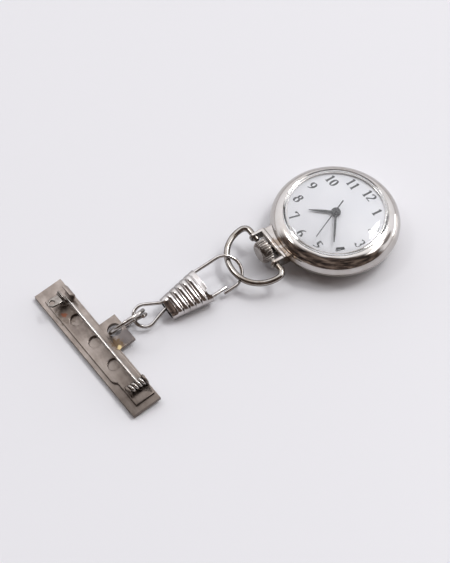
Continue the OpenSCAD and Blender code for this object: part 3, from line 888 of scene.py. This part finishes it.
def crystal():
    """The watch glass: a thick lens with a soft shoulder round its dome."""
    rise = CRYSTAL_TOP_Z - CRYSTAL_SIDE_Z
    profile = [(0, CRYSTAL_TOP_Z)]
    for k in range(1, DOME_STEPS + 1):
        share = math.sin(math.radians(90 * k / DOME_STEPS))
        height = (1 - share**DOME_POWER) ** (1 / DOME_POWER)
        profile.append((CRYSTAL_R * share, CRYSTAL_SIDE_Z + rise * height))
    inner_r = CRYSTAL_R - CRYSTAL_WALL
    profile += [(CRYSTAL_R, CRYSTAL_Z0), (inner_r, CRYSTAL_Z0)]
    corner = (inner_r - CRYSTAL_INNER_R, CRYSTAL_UNDER_Z - CRYSTAL_INNER_R)
    profile += arc(corner, CRYSTAL_INNER_R, 0, 90, 15) + [(0, CRYSTAL_UNDER_Z)]
    return finish_piece(revolved(profile, TURNED_STEPS), "watch_crystal", IN_WATCH, GLASS_FINISH, FOB, 30)


def dial():
    """The dial's disc with the hole for the hands' tubes."""
    low = DIAL_Z - DIAL_T
    outer = [(DIAL_R, low), (DIAL_R, DIAL_Z - DIAL_EDGE / 2), (DIAL_R - DIAL_EDGE, DIAL_Z)]
    inner = [(DIAL_HOLE_R + DIAL_EDGE, DIAL_Z), (DIAL_HOLE_R, DIAL_Z - DIAL_EDGE), (DIAL_HOLE_R, low)]
    shape = revolved(inner[-1:] + outer + inner)
    return finish_piece(shape, "dial_disc", IN_WATCH, DIAL_FINISH, FOB, 30)


def oval(cx, cy, rx, ry, start=0, end=360, step=15):
    """Points on an oval from one angle to another; a whole one leaves out its last point."""
    count = max(3, round(abs(end - start) / step))
    angles = [math.radians(start + (end - start) * k / count) for k in range(count + 1)]
    points = [(cx + rx * math.cos(a), cy + ry * math.sin(a)) for a in angles]
    return points[:-1] if abs(end - start) == 360 else points


def pen_stroke(points, closed=False):
    """The outlines of a stroke of a broad pen held at a slant, so that it is thick where it runs down."""
    count = len(points)
    nib = Vector((math.cos(math.radians(PEN_SLANT)), math.sin(math.radians(PEN_SLANT))))
    left, right = [], []
    for k, point in enumerate(points):
        before = points[k - 1] if k or closed else point
        after = points[(k + 1) % count] if k < count - 1 or closed else point
        d = (Vector(after) - Vector(before)).normalized()
        half = (PEN_THIN + (PEN_THICK - PEN_THIN) * abs(d.x * nib.y - d.y * nib.x) ** PEN_SWELL) / 2
        left.append((point[0] - d.y * half, point[1] + d.x * half))
        right.append((point[0] + d.y * half, point[1] - d.x * half))
    return [left, right] if closed else [left + right[::-1]]


def figure_paths():
    """The pen's paths for each figure, one unit tall: its open strokes and its closed loops."""
    six = ([oval(0.56, 0.34, 0.48, 0.58, 100, 180)], [oval(0.30, 0.29, 0.22, 0.26)])
    return {
        "0": ([], [oval(0.30, 0.49, 0.21, 0.44)]),
        "1": ([[(0.31, 0.97), (0.31, 0.03)], [(0.12, 0.82), (0.31, 0.95)],
               [(0.14, 0.03), (0.48, 0.03)]], []),
        "2": ([oval(0.29, 0.71, 0.21, 0.24, 165, -35) + [(0.06, 0.07)], [(0.05, 0.06), (0.54, 0.06)]], []),
        "3": ([oval(0.28, 0.74, 0.18, 0.21, 150, -75), oval(0.27, 0.28, 0.23, 0.25, 80, -150)], []),
        "4": ([[(0.40, 0.97), (0.05, 0.30)], [(0.04, 0.28), (0.60, 0.28)], [(0.42, 0.98), (0.42, 0.03)],
               [(0.28, 0.03), (0.56, 0.03)]], []),
        "5": ([[(0.13, 0.93), (0.52, 0.93)], [(0.14, 0.93), (0.10, 0.53)],
               oval(0.27, 0.30, 0.23, 0.27, 125, -150)], []),
        "6": six,
        "7": ([[(0.06, 0.92), (0.56, 0.92)], [(0.55, 0.92), (0.24, 0.03)],
               [(0.07, 0.95), (0.07, 0.76)]], []),
        "8": ([], [oval(0.30, 0.73, 0.17, 0.21), oval(0.30, 0.28, 0.22, 0.25)]),
        "9": [[[(0.6 - x, 0.97 - y) for x, y in path] for path in paths] for paths in six],
    }


def numerals():
    """The twelve printed numerals, all upright towards twelve."""
    pieces = []
    figures = figure_paths()
    for hour in range(1, 13):
        a = math.radians(30 * hour)
        middle_x, middle_y = NUMERAL_RING_R * math.cos(a), -NUMERAL_RING_R * math.sin(a)
        text = str(hour)
        for k, figure in enumerate(text):
            left = (k + 0.5 - len(text) / 2) * FIGURE_ADVANCE - FIGURE_MIDDLE[0]
            open_paths, closed_paths = figures[figure]
            strokes = [pen_stroke(path) for path in open_paths]
            strokes += [pen_stroke(path, True) for path in closed_paths]
            for stroke in strokes:
                rings = [[(middle_x + (y - FIGURE_MIDDLE[1]) * FIGURE_H, middle_y - (x + left) * FIGURE_H)
                          for x, y in ring] for ring in stroke]
                pieces.append(sheet_part(rings, DIAL_Z - INK_SINK, DIAL_Z + INK_RISE))
    finish_piece(joined(pieces), "dial_numerals", IN_WATCH, NUMERAL_FINISH, FOB, 0)


def blade(stations, length, thickness):
    """A flat hand along X from (share of its length, width) stations."""
    upper = [(x * length, w / 2) for x, w in stations]
    outline = upper + [(x, -half) for x, half in reversed(upper)]
    return sheet_part([outline], 0, thickness, BLADE_EDGE)


def hub(radius, height, bore):
    """The round boss of a hand, with a softened edge."""
    profile = [(bore, 0), (radius, 0), (radius, height - BOSS_EDGE), (radius - BOSS_EDGE, height)]
    return revolved(profile + [(bore, height), (bore, 0)], 48)


def hand(name, setting, stations, boss, tube_r, tail):
    """One hand on its tube: a blade, perhaps a tail, and a boss."""
    angle, length, z = setting
    bore, foot = boss[2], TUBE_FOOT_Z - z
    parts = [blade(stations, length, BLADE_T), hub(*boss)]
    if tail:
        parts.append(blade([(-x, w) for x, w in tail], TAIL_L, TAIL_T))
    tube = [(bore, foot), (tube_r, foot), (tube_r, TUBE_TOP), (bore, TUBE_TOP), (bore, foot)]
    parts.append(revolved(tube, 32))
    place = IN_WATCH @ Matrix.Translation((0, 0, z)) @ Matrix.Rotation(-math.radians(angle), 4, "Z")
    return finish_piece(joined(parts), f"{name}_blade", place, HAND_FINISH, f"{name}_hand", 30)


numerals()
hour, minute, second = [hand(*values) for values in HANDS]
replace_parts(hour, "hour_hand")
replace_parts(minute, "minute_hand")
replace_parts(second, "second_hand")
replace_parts(back_shell(), "case_shell")
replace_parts(bezel(), "bezel")
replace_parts(crystal(), "crystal")
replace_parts(dial(), "dial")


# Pendant and crown

def pendant():
    """The bar across the pendant, and the ears that hold the bow."""
    middle = BAR_X + BAR_R
    root = -CAVITY_R - NECK_ROOT
    outline = arc((middle, BAR_H / 2 - BAR_R), BAR_R, 5, 180, 8)
    outline += arc((middle, BAR_R - BAR_H / 2), BAR_R, 180, 270, 8) + [(root, -BAR_H / 2), (root, NECK_TOP)]
    half_w = PENDANT_W / 2 - SEAT_GAP
    bar = sheet_part([outline], -half_w, half_w, BAR_EDGE)
    move_to(bar, IN_PENDANT_MM @ ALONG_Y)
    above = [(0, JOINT_Z), (CASE_R + SEAT_GAP, JOINT_Z)]
    above += arc((BEZEL_RC, JOINT_Z), EDGE_R + SEAT_GAP, 2, 88, 4) + [(0, JOINT_Z + EDGE_R)]
    cut(bar, revolved(above))
    finish_piece(bar, "pendant_bar", IN_WATCH, PENDANT_FINISH, FOB, 40)
    at_pin = (PIN_X, PIN_RISE)
    outline = arc(at_pin, EAR_R, 90, 270, 10) + [(middle, PIN_RISE - EAR_R), (middle, PIN_RISE + EAR_R)]
    hole = circle(at_pin, BOW_R + SEAT_GAP, 15)
    place = IN_PENDANT @ ALONG_Y
    for name, side in (("right", -1), ("left", 1)):
        inner = side * (PENDANT_W - EAR_T) / 2 - EAR_T / 2
        ear = sheet_part([outline, hole], inner, inner + EAR_T, EAR_EDGE)
        finish_piece(ear, f"pendant_ear_{name}", place, PENDANT_FINISH, FOB, 40)


def crown():
    """The fluted barrel of the crown, and its domed cap and boss, which turn with it."""
    teeth = []
    for k in range(FLUTES):
        for share, depth in FLUTE_SHAPE:
            teeth.append(on_circle((0, 0), CROWN_R - depth, 360 * (k + share) / FLUTES))
    steps = [(z, share, share) for z, share in CROWN_DOME]
    steps += [(CROWN_L - z, share, share) for z, share in CROWN_LIP]
    place = IN_PENDANT @ Matrix.Translation((CROWN_X0, 0, 0)) @ ALONG_X
    barrel = finish_piece(extruded(teeth, steps), "crown_barrel", place, CROWN_FINISH, "crown", 30)
    boss_end = CROWN_L + CROWN_BOSS_L
    profile = [(share * CAP_R, z) for share, z in CAP_DOME]
    profile += [(CAP_R, CROWN_L - CAP_FACE[0]), (CROWN_BOSS_R, CROWN_L - CAP_FACE[1])]
    profile += [(CROWN_BOSS_R, boss_end - BOSS_EDGE)]
    profile += [(CROWN_BOSS_R - BOSS_EDGE, boss_end), (CROWN_BORE_R, boss_end)]
    profile += [(CROWN_BORE_R, CROWN_L - CROWN_BORE_L), (0, CROWN_L - CROWN_BORE_L)]
    finish_piece(revolved(profile, 64), "crown_cap", place, CROWN_CAP_FINISH, "crown", 35)
    return barrel


pendant()
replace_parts(crown(), "crown")


# Bow, clip and ring

def link(path, radius, resolution, name, place, finish):
    """A link of bent wire, with both of the wire's ends rounded."""
    points = [Vector((*p, 0)) if len(p) == 2 else Vector(p) for p in path]
    ends = []
    for tip, inner in ((points[0], points[1]), (points[-1], points[-2])):
        d = (tip - inner).normalized()
        ends.append([(tip - d * radius * back, share) for back, share in ROUND_END])
    rounded = ends[0][::-1] + [(p, 1.0) for p in points[1:-1]] + ends[1]
    piece = wire([p for p, _ in rounded], radius, resolution, [share for _, share in rounded])
    return finish_piece(piece, name, place, finish, FOB)


def bow():
    """The bow's wire from one pin round the nose to the other."""
    nose_cx = NOSE_R - BOW_LENGTH
    side_dx = nose_cx + SHOULDER_R
    side_d = NOSE_R - BOW_HALF
    reach = (side_dx**2 + side_d**2) / (2 * side_d)
    side_r = NOSE_R - reach
    nose_angle = math.degrees(math.acos(side_dx / reach))
    half = [(0, PIN_END), (0, BOW_HALF - SHOULDER_R - SHOULDER_LEAD)]
    half += arc((-SHOULDER_R, BOW_HALF - SHOULDER_R), SHOULDER_R, 0, 88)
    half += arc((-SHOULDER_R, BOW_HALF - side_r), side_r, 90, 180 - nose_angle)
    half += arc((nose_cx, 0), NOSE_R, 180 - nose_angle + 2, 180)
    path = half + [(x, -y) for x, y in reversed(half[:-1])]
    return link(path, BOW_R, 8, "bow_wire", IN_BOW, BOW_FINISH)


def leg_angle(point, side):
    """The angle on the small loop where a straight leg from a point meets it."""
    d = Vector(point) - Vector(SMALL_LOOP)
    return math.degrees(math.atan2(d.y, d.x) + side * math.acos(SMALL_R / d.length))


def clip_wire():
    """The spring wire: the hook, the leg to the small loop, the loop, and the leg that ends in a stub."""
    a_up = leg_angle(LEG_UP, 1)
    a_low = leg_angle(LEG_LOW, -1) + 360
    on_loop = [on_circle(SMALL_LOOP, SMALL_R, a) for a in (a_up, a_low)]
    hook_top = (HOOK[0], HOOK[1] + HOOK_R)
    leg_end = (LEG_END_X, hook_top[1])
    stub_start = (LEG_END_X, STUB[1])
    upper = (hook_top, leg_end, LEG_UP, on_loop[0])
    lower = (on_loop[1], LEG_LOW, stub_start, STUB)
    path = [(HOOK_END_X, HOOK[1] - HOOK_R)] + arc(HOOK, HOOK_R, -90, 90)
    path += bend(*upper[:3], WIRE_BEND_R) + bend(*upper[1:], WIRE_BEND_R)
    path += arc(SMALL_LOOP, SMALL_R, a_up, a_low)
    path += bend(*lower[:3], WIRE_BEND_R) + bend(*lower[1:], WIRE_BEND_R)
    return link(path + [STUB], CLIP_WIRE_R, 6, "clip_spring_wire", IN_CLIP, WIRE_FINISH)


def sleeve_ring(x, wider, deeper):
    """Half width and half thickness of the sleeve at a place along it, grown by two amounts."""
    share = x / SLEEVE_L
    wide = SLEEVE_W[0] + (SLEEVE_W[1] - SLEEVE_W[0]) * share
    deep = SLEEVE_T[0] + (SLEEVE_T[1] - SLEEVE_T[0]) * share
    return x, wide / 2 + wider, deep / 2 + deeper


def sleeve():
    """The flat tapering sleeve, open at both ends, pressed into round ribs with grooves between."""
    inside = -SLEEVE_WALL - MOUTH_SLOPE
    rings = [sleeve_ring(x, -SLEEVE_WALL, inside) for x in (MOUTH_DEPTH[0], 0)]
    rings.append(sleeve_ring(0, -NARROW_EDGE, -NARROW_EDGE - MOUTH_SLOPE))
    rings.append(sleeve_ring(NARROW_EDGE, 0, -MOUTH_SLOPE))
    rings.append(sleeve_ring(RIB_FIRST - RIB_PITCH / 2 - BAND_LEAD, 0, -BAND_DIP))
    for k in range(RIBS):
        middle = RIB_FIRST + k * RIB_PITCH
        for j in range(RIB_STEPS + 1):
            across = 2 * j / RIB_STEPS - 1
            bulge = RIB_H * ((1 + RIB_ROUND) * math.sqrt(RIB_CROWN - across**2) - RIB_ROUND)
            rings.append(sleeve_ring(middle + across * RIB_W / 2, RIB_AT_SIDES * bulge, bulge))
        if k < RIBS - 1:
            rings.append(sleeve_ring(middle + RIB_PITCH / 2, -GROOVE_AT_SIDES, -GROOVE_DEPTH))
    band = RIB_FIRST + (RIBS - 0.5) * RIB_PITCH
    rings += [sleeve_ring(band, 0, -BAND_DIP), sleeve_ring(band + BAND_DIP, 0, BAND_RISE)]
    rings += [sleeve_ring(SLEEVE_L - LIP_START, 0, 0), sleeve_ring(SLEEVE_L - LIP_END, LIP_FLARE, LIP_FLARE)]
    rings.append(sleeve_ring(SLEEVE_L, -LIP_FLARE, -LIP_FLARE))
    rings += [sleeve_ring(x, -SLEEVE_WALL, -SLEEVE_WALL) for x in (SLEEVE_L, SLEEVE_L - MOUTH_DEPTH[1])]
    outline = []
    for side in (1, -1):
        turn = 90 - 90 * side
        outline += oval(side * (1 - SIDE_ROUND), 0, SIDE_ROUND, 1, turn - 90, turn + 90, 10)
    shape = extruded(outline, rings)
    bpy.ops.object.select_all(action="DESELECT")
    x, y, radius = LIP_NOTCH
    depth = SLEEVE_T[1]
    bpy.ops.mesh.primitive_cylinder_add(
        vertices=32, radius=radius, depth=depth, location=(y, depth / 2, x),
        rotation=(math.radians(90), 0, 0))
    cut(shape, bpy.context.view_layer.objects.active)
    roll = Matrix.Rotation(math.radians(-SLEEVE_ROLL), 4, "X")
    place = IN_CLIP @ Matrix.Translation((0, SLEEVE_SHIFT, 0)) @ roll @ ALONG_X
    return finish_piece(shape, "ribbed_sleeve", place, SLEEVE_FINISH, FOB, 40)


def split_ring():
    """The split ring: one turn and an overlap, climbing by its own wire."""
    turn = 360 + 2 * RING_OVERLAP
    steps = turn // RING_STEP
    path = []
    for k in range(steps + 1):
        a = RING_JOINT + RING_OVERLAP - turn * (1 - k / steps)
        path.append((*on_circle((0, 0), RING_MID_R, a), RING_RISE * (a - RING_JOINT + 180) / 360))
    return link(path, RING_WIRE_R, 6, "split_ring_wire", IN_RING, WIRE_FINISH)


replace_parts(bow(), "bow")
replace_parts(clip_wire(), "clip_wire")
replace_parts(sleeve(), "clip_sleeve")
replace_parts(split_ring(), "split_ring")


# Brooch

def rectangle(x0, y0, x1, y1):
    """The four corners of an upright rectangle."""
    return [(x0, y0), (x1, y0), (x1, y1), (x0, y1)]


def plate():
    """The flat plate with its tab and the hole for the ring."""
    tab = rectangle(PLATE_W, TAB_Y - TAB_W / 2, PLATE_W + TAB_L, TAB_Y + TAB_W / 2)
    body = rectangle(0, -PLATE_L / 2, PLATE_W, PLATE_L / 2)
    outline = body[:2] + tab + body[2:]
    shape = sheet_part([outline, circle(TAB_HOLE, TAB_HOLE_R, 10)], 0, PLATE_T, PLATE_EDGE)
    return finish_piece(shape, "brooch_plate", IN_PLATE, PLATE_FINISH, FOB, 40)


def strip():
    """The soldered strip with its three holes and the foot of the hinge, with a well under the coil."""
    x0, x1 = STRIP_X
    y0, y1 = STRIP_Y
    outline = [(BASE_X0, BASE_Y0), (x1, BASE_Y0), (x1, y1), (x0, y1)]
    corner = (x0 + STRIP_CORNER_R, y0 + STRIP_CORNER_R)
    outline += arc(corner, STRIP_CORNER_R, 180, 240, 12) + [(BASE_X0, y0)]
    along = [STRIP_HOLE_Y + k * STRIP_HOLE_PITCH for k in (-1, 0, 1)]
    holes = [circle((STRIP_HOLE_X, y), STRIP_HOLE_R, 10) for y in along]
    well = rectangle(EAR_IN[0], COIL_Y - WELL_L / 2, EAR_IN[1], COIL_Y + WELL_L / 2)
    shape = sheet_part([outline, well] + holes, PLATE_T - STRIP_SINK, PLATE_T + STRIP_T, STRIP_EDGE)
    finish_piece(shape, "pin_strip", IN_PLATE, PLATE_FINISH, FOB, 40)


def hinge():
    """The two ears of the hinge and the rivet through them."""
    low, high = EAR_IN[0] - HINGE_EAR_T, EAR_IN[1] + HINGE_EAR_T
    foot = PLATE_T + HINGE_EAR_SINK
    outline = arc((COIL_Y, COIL_Z), HINGE_EAR_R, 0, 180, 12)
    outline += [(COIL_Y - HINGE_EAR_R, foot), (COIL_Y + HINGE_EAR_R, foot)]
    hole = circle((COIL_Y, COIL_Z), RIVET_R + RIVET_GAP, 20)
    ears = [sheet_part([outline, hole], x, x + HINGE_EAR_T, PLATE_EDGE) for x in (low, EAR_IN[1])]
    finish_piece(joined(ears), "hinge_ears", IN_PLATE @ ALONG_X, PLATE_FINISH, FOB, 40)
    profile = [(0, low), (RIVET_R - RIVET_EDGE, low), (RIVET_R, low + RIVET_EDGE)]
    profile += [(RIVET_R, high - RIVET_EDGE), (RIVET_R - RIVET_EDGE, high), (0, high)]
    place = IN_PLATE @ Matrix.Translation((0, COIL_Y, COIL_Z)) @ ALONG_X
    rivet = finish_piece(revolved(profile, 24), "hinge_rivet_pin", place, PIN_FINISH, FOB, 40)
    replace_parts(rivet, "hinge_rivet")


def sector(radii, turn):
    """The outline of a strip bent round a centre, with round ends."""
    inner, outer = radii
    middle, half = (inner + outer) / 2, (outer - inner) / 2
    start, end = turn
    outline = arc((0, 0), outer, start, end, 8)
    outline += arc(on_circle((0, 0), middle, end), half, end, end + 180, 30)[1:-1]
    outline += arc((0, 0), inner, end, start, 8)
    outline += arc(on_circle((0, 0), middle, start), half, start + 180, start + 360, 30)[1:-1]
    return outline


def catch():
    """The catch's rolled wall on the strip, and the turning half in it with its thumb lever."""
    low, high = -CATCH_Y[1], -CATCH_Y[0]
    place = IN_PLATE @ Matrix.Translation((PIN_LINE_X, 0, PIN_LINE_Z)) @ ALONG_Y
    wall = sheet_part([sector(CATCH_R, CATCH_TURN)], low, high, PLATE_EDGE)
    finish_piece(wall, "catch_wall", place, PLATE_FINISH, FOB, 40)
    roller = sheet_part([sector(ROLLER_R, ROLLER_TURN)], low, high, ROLLER_EDGE)
    half_w = LEVER_W / 2
    pad = [(LEVER_L - half_w - x, y) for x, y in arc((0, 0), half_w, 90, 270, 12)]
    pad += [(LEVER_ROOT, -half_w), (LEVER_ROOT, half_w)]
    hole = circle((LEVER_L - half_w, 0), LEVER_HOLE_R, 20)
    lever = sheet_part([pad, hole], -LEVER_T / 2, LEVER_T / 2, LEVER_EDGE)
    middle = (low + high) / 2
    lie_flat = Matrix.Rotation(math.radians(LEVER_ANGLE), 4, "Z") @ ALONG_Y
    move_to(lever, Matrix.Translation((0, 0, middle)) @ lie_flat)
    piece = finish_piece(joined([roller, lever]), "catch_lever", place, CATCH_FINISH, "catch", 40)
    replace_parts(piece, "catch_roller")


def pin():
    """The spring wire: its coil on the rivet and its straight stem with a sharp tip."""
    path = []
    for k in range(COIL_TURNS * COIL_STEPS + 1):
        a = math.tau * k / COIL_STEPS
        x = COIL_X0 + COIL_PITCH * (k / COIL_STEPS - 0.5)
        path.append((x, COIL_Y + COIL_R * math.sin(a), COIL_Z - COIL_R * math.cos(a)))
    coil = wire(path, COIL_WIRE_R, 5)
    length = PIN_TIP_Y - COIL_Y
    stations = [(0, 1.0), (0.4, 1.0), (1 - PIN_TAPER / length, 1.0), *PIN_POINT]
    line = [(PIN_LINE_X, COIL_Y + length * share, PIN_LINE_Z) for share, _ in stations]
    stem = wire(line, PIN_R, 5, [r for _, r in stations])
    piece = finish_piece(joined([coil, stem]), "coiled_pin", IN_PLATE, PIN_FINISH, "pin", 50)
    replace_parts(piece, "pin_stem")


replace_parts(plate(), "pin_plate")
strip()
hinge()
catch()
pin()

for name in ("movement", "crown_stem"):
    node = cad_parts[name]
    node.data.materials.clear()
    node.data.materials.append(CROWN_FINISH)


# Table, light and camera

def table_top():
    """A broad white table top under the piece."""
    bpy.ops.object.select_all(action="DESELECT")
    bpy.ops.mesh.primitive_plane_add(size=TABLE_SIZE, location=(0, 0, 0))
    table = bpy.context.view_layer.objects.active
    table.name = "table_top"
    finish = Finish("table_white", Base_Color=TABLE_COLOUR, Roughness=0.32, Specular_IOR_Level=0.35)
    table.data.materials.append(finish.material)


def toward(azimuth, elevation):
    """The direction from the model to a place in the room: azimuth 0 is +X and 90 is +Y."""
    a, e = math.radians(azimuth), math.radians(elevation)
    return Vector((math.cos(a) * math.cos(e), math.sin(a) * math.cos(e), math.sin(e)))


def area_light(name, azimuth, elevation, distance, size, power, colour):
    """A rectangular lamp that faces the piece."""
    data = bpy.data.lights.new(name, "AREA")
    data.shape = "RECTANGLE"
    data.size, data.size_y = size
    data.energy = power
    data.color = colour
    lamp = bpy.data.objects.new(name, data)
    bpy.context.collection.objects.link(lamp)
    lamp.location = toward(azimuth, elevation) * distance
    lamp.rotation_euler = (-lamp.location).to_track_quat("-Z", "Y").to_euler()


def room_light():
    """The studio: pale walls and ceiling, a dark shelf, and a dark brown room behind the camera."""
    world = bpy.data.worlds.new("studio_room")
    bpy.context.scene.world = world
    world.use_nodes = True
    tree = world.node_tree
    background = tree.nodes["Background"]
    where = tree.nodes.new("ShaderNodeTexCoord").outputs["Generated"]
    split = tree.nodes.new("ShaderNodeSeparateXYZ")
    tree.links.new(where, split.inputs["Vector"])
    height = split.outputs["Z"]
    clutter = noise_node(tree, where, CLUTTER_SCALE, 5, 0.6)
    behind = vector_node(tree, "DOT_PRODUCT", where, toward(*DARK_SIDE))
    wavy = math_node(tree, "MULTIPLY_ADD", clutter, EDGE_SWAY, behind)
    squared = math_node(tree, "MULTIPLY", height, height)
    lower = math_node(tree, "MULTIPLY_ADD", squared, HEIGHT_FADE, wavy)
    beside = vector_node(tree, "DOT_PRODUCT", where, toward(*DARK_SHELF))
    dark_side = range_node(tree, lower, *DARK_EDGE)
    shelf = range_node(tree, beside, *SHELF_EDGE)
    darkness = math_node(tree, "MAXIMUM", dark_side, shelf)
    walls = ramp_node(tree, height, WALL_TONES)
    dark = ramp_node(tree, clutter, DARK_TONES)
    tree.links.new(mix_node(tree, darkness, walls, dark), background.inputs["Color"])
    background.inputs["Strength"].default_value = WALL_LIGHT


def photo_camera():
    """The camera of the photograph."""
    data = bpy.data.cameras.new("photo_camera")
    data.sensor_fit = "HORIZONTAL"
    data.sensor_width = SENSOR
    data.lens = FOCAL_PIXELS * SENSOR / PHOTO_WIDTH
    data.clip_start = 0.01
    data.clip_end = 20
    camera = bpy.data.objects.new("photo_camera", data)
    bpy.context.collection.objects.link(camera)
    azimuth, elevation = math.radians(LOOK_AZIMUTH), math.radians(LOOK_ELEVATION)
    level = math.cos(elevation)
    looking = Vector((math.sin(azimuth) * level, math.cos(azimuth) * level, -math.sin(elevation)))
    aim = Vector((WATCH_X + AIM_X, WATCH_Y + AIM_Y, 0))
    camera.location = (aim - looking * CAMERA_DISTANCE) * MM
    camera.rotation_euler = looking.to_track_quat("-Z", "Y").to_euler()
    bpy.context.scene.camera = camera


table_top()
room_light()
for light in LIGHTS:
    area_light(*light)
photo_camera()
bpy.context.scene.view_settings.view_transform = "Standard"
